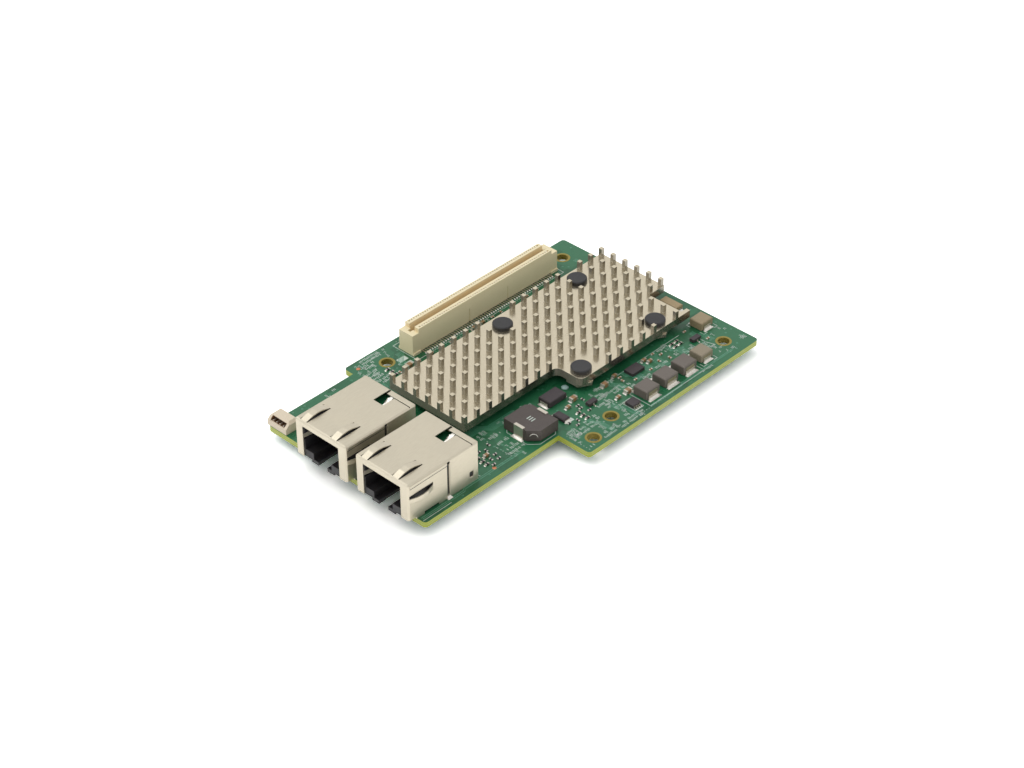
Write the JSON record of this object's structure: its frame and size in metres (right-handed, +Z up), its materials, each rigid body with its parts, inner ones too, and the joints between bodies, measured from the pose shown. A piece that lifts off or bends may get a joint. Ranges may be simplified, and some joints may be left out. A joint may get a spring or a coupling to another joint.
{
  "type": "ethernet adapter card",
  "caption": "Green mezzanine network card with shielded modular jacks, a pin-fin heat sink held by push pins, a tall board-to-board connector and power parts.",
  "frame": {"origin": "under the middle of the card's box, at the level of its lowest push-pin tips", "axes": "+X to the right seen from the jacks, +Y from the jacks to the back of the card, +Z up from the component side"},
  "size_m": [0.068, 0.1128, 0.016],
  "materials": {
    "board_laminate": "green solder mask over glass laminate",
    "sink_aluminium": "champagne satin",
    "thermal_pad": "matt",
    "chip_epoxy": "matt moulded epoxy",
    "push_pin_plastic": "fine moulded",
    "connector_plastic": "moulded ivory",
    "header_plastic": "moulded off-white",
    "tin_plate": "bright tin",
    "contact_gold": "gold flash",
    "shell_nickel": "satin nickel",
    "port_plastic": "black moulded",
    "bulk_core": "pressed powder",
    "block_core": "pressed powder",
    "pale_core": "pressed powder",
    "tan_core": "pressed powder",
    "tantalum_epoxy": "moulded tan",
    "capacitor_ceramic": "fired ceramic",
    "resistor_film": "black glaze"
  },
  "bodies": {
    "root": {"bulk_inductor_core": "bulk_core", "bulk_inductor_terminals": "tin_plate", "capacitor_bodies": "capacitor_ceramic", "capacitor_ends": "tin_plate", "circuit_board": "board_laminate", "controller_chip": "chip_epoxy", "diode_body": "chip_epoxy", "diode_terminals": "tin_plate", "header_housing": "header_plastic", "header_pins": "tin_plate", "heat_sink": "sink_aluminium", "inductor_1_body": "block_core", "inductor_1_terminals": "tin_plate", "inductor_2_body": "block_core", "inductor_2_terminals": "tin_plate", "inductor_3_body": "block_core", "inductor_3_terminals": "tin_plate", "inductor_4_body": "pale_core", "inductor_4_terminals": "tin_plate", "inductor_5_body": "tan_core", "inductor_5_terminals": "tin_plate", "jack_1_contacts": "contact_gold", "jack_1_inner_board": "board_laminate", "jack_1_insert": "port_plastic", "jack_1_magnetics": "port_plastic", "jack_1_shield": "shell_nickel", "jack_1_tails": "tin_plate", "jack_2_contacts": "contact_gold", "jack_2_inner_board": "board_laminate", "jack_2_insert": "port_plastic", "jack_2_magnetics": "port_plastic", "jack_2_shield": "shell_nickel", "jack_2_tails": "tin_plate", "memory_chip_body": "chip_epoxy", "memory_chip_leads": "tin_plate", "mezzanine_contacts": "tin_plate", "mezzanine_housing": "connector_plastic", "polymer_capacitor_body": "chip_epoxy", "polymer_capacitor_terminals": "tin_plate", "push_pins": "push_pin_plastic", "regulator_chip": "chip_epoxy", "resistor_bodies": "resistor_film", "resistor_ends": "tin_plate", "tantalum_capacitor_body": "tantalum_epoxy", "tantalum_capacitor_terminals": "tin_plate", "thermal_pad": "thermal_pad", "transistor_bodies": "chip_epoxy", "transistor_leads": "tin_plate"}
  },
  "joints": []
}
